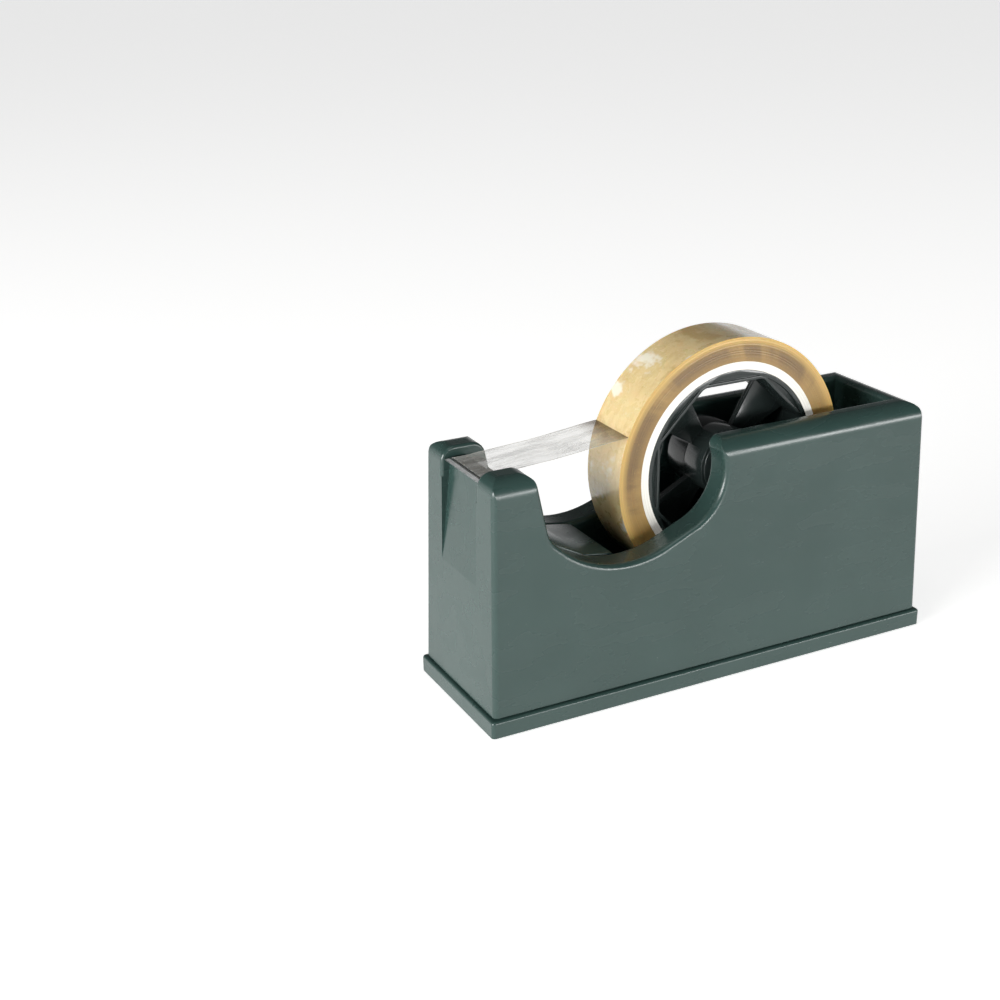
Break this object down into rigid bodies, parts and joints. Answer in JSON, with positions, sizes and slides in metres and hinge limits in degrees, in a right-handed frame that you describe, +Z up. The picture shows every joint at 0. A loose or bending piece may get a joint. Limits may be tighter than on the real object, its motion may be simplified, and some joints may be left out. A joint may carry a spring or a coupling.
{
  "type": "desk tape dispenser",
  "caption": "Weighted desk tape dispenser: deep moulded body with a saddle cut-out, serrated cutter, lift-out wheel for large cores and a roll of clear tape.",
  "frame": {"origin": "on the table, under the middle of the flanged base", "axes": "+Z up, +X from the cutter end towards the rear, +Y to the left side when looking from the cutter to the rear"},
  "size_m": [0.202, 0.0636, 0.1334],
  "materials": {
    "body_plastic": "dark grey-green moulded ABS, semi-gloss",
    "black_plastic": "near-black moulded ABS, semi-gloss",
    "ballast_iron": "rough grey casting",
    "screw_steel": "zinc plated",
    "blade_steel": "bright rolled strip with ground teeth",
    "core_card": "white wound card",
    "wound_tape": "amber wound clear film, glossy",
    "tape_film": "clear film, glossy",
    "foot_rubber": "soft matte rubber"
  },
  "bodies": {
    "root": {"body_shell": "body_plastic", "saddle_ramp": "body_plastic", "base_plate": "body_plastic", "ballast_front_block": "ballast_iron", "ballast_slab": "ballast_iron", "ballast_screws": "screw_steel", "base_screws": "screw_steel", "rest_screws": "screw_steel", "carrier_screws": "screw_steel", "blade_carrier": "black_plastic", "tape_rest": "black_plastic", "cutter_blade": "blade_steel", "foot_front_left": "foot_rubber", "foot_front_right": "foot_rubber", "foot_rear_left": "foot_rubber", "foot_rear_right": "foot_rubber"},
    "hub": {"hub_half_left": "black_plastic", "hub_half_right": "black_plastic", "tape_strip": "tape_film"},
    "wheel": {"wheel_half_left": "black_plastic", "wheel_half_right": "black_plastic", "tape_core": "core_card", "tape_roll": "wound_tape"}
  },
  "joints": [
    {"name": "roll_lift", "type": "slide", "parent": "root", "child": "hub", "axis": [0, 0, 1], "range_m": [0, 0.075]},
    {"name": "wheel_spin", "type": "hinge", "parent": "hub", "child": "wheel", "pos_m": [0.0152, 0, 0.0823], "axis": [0, 1, 0], "continuous": true}
  ]
}
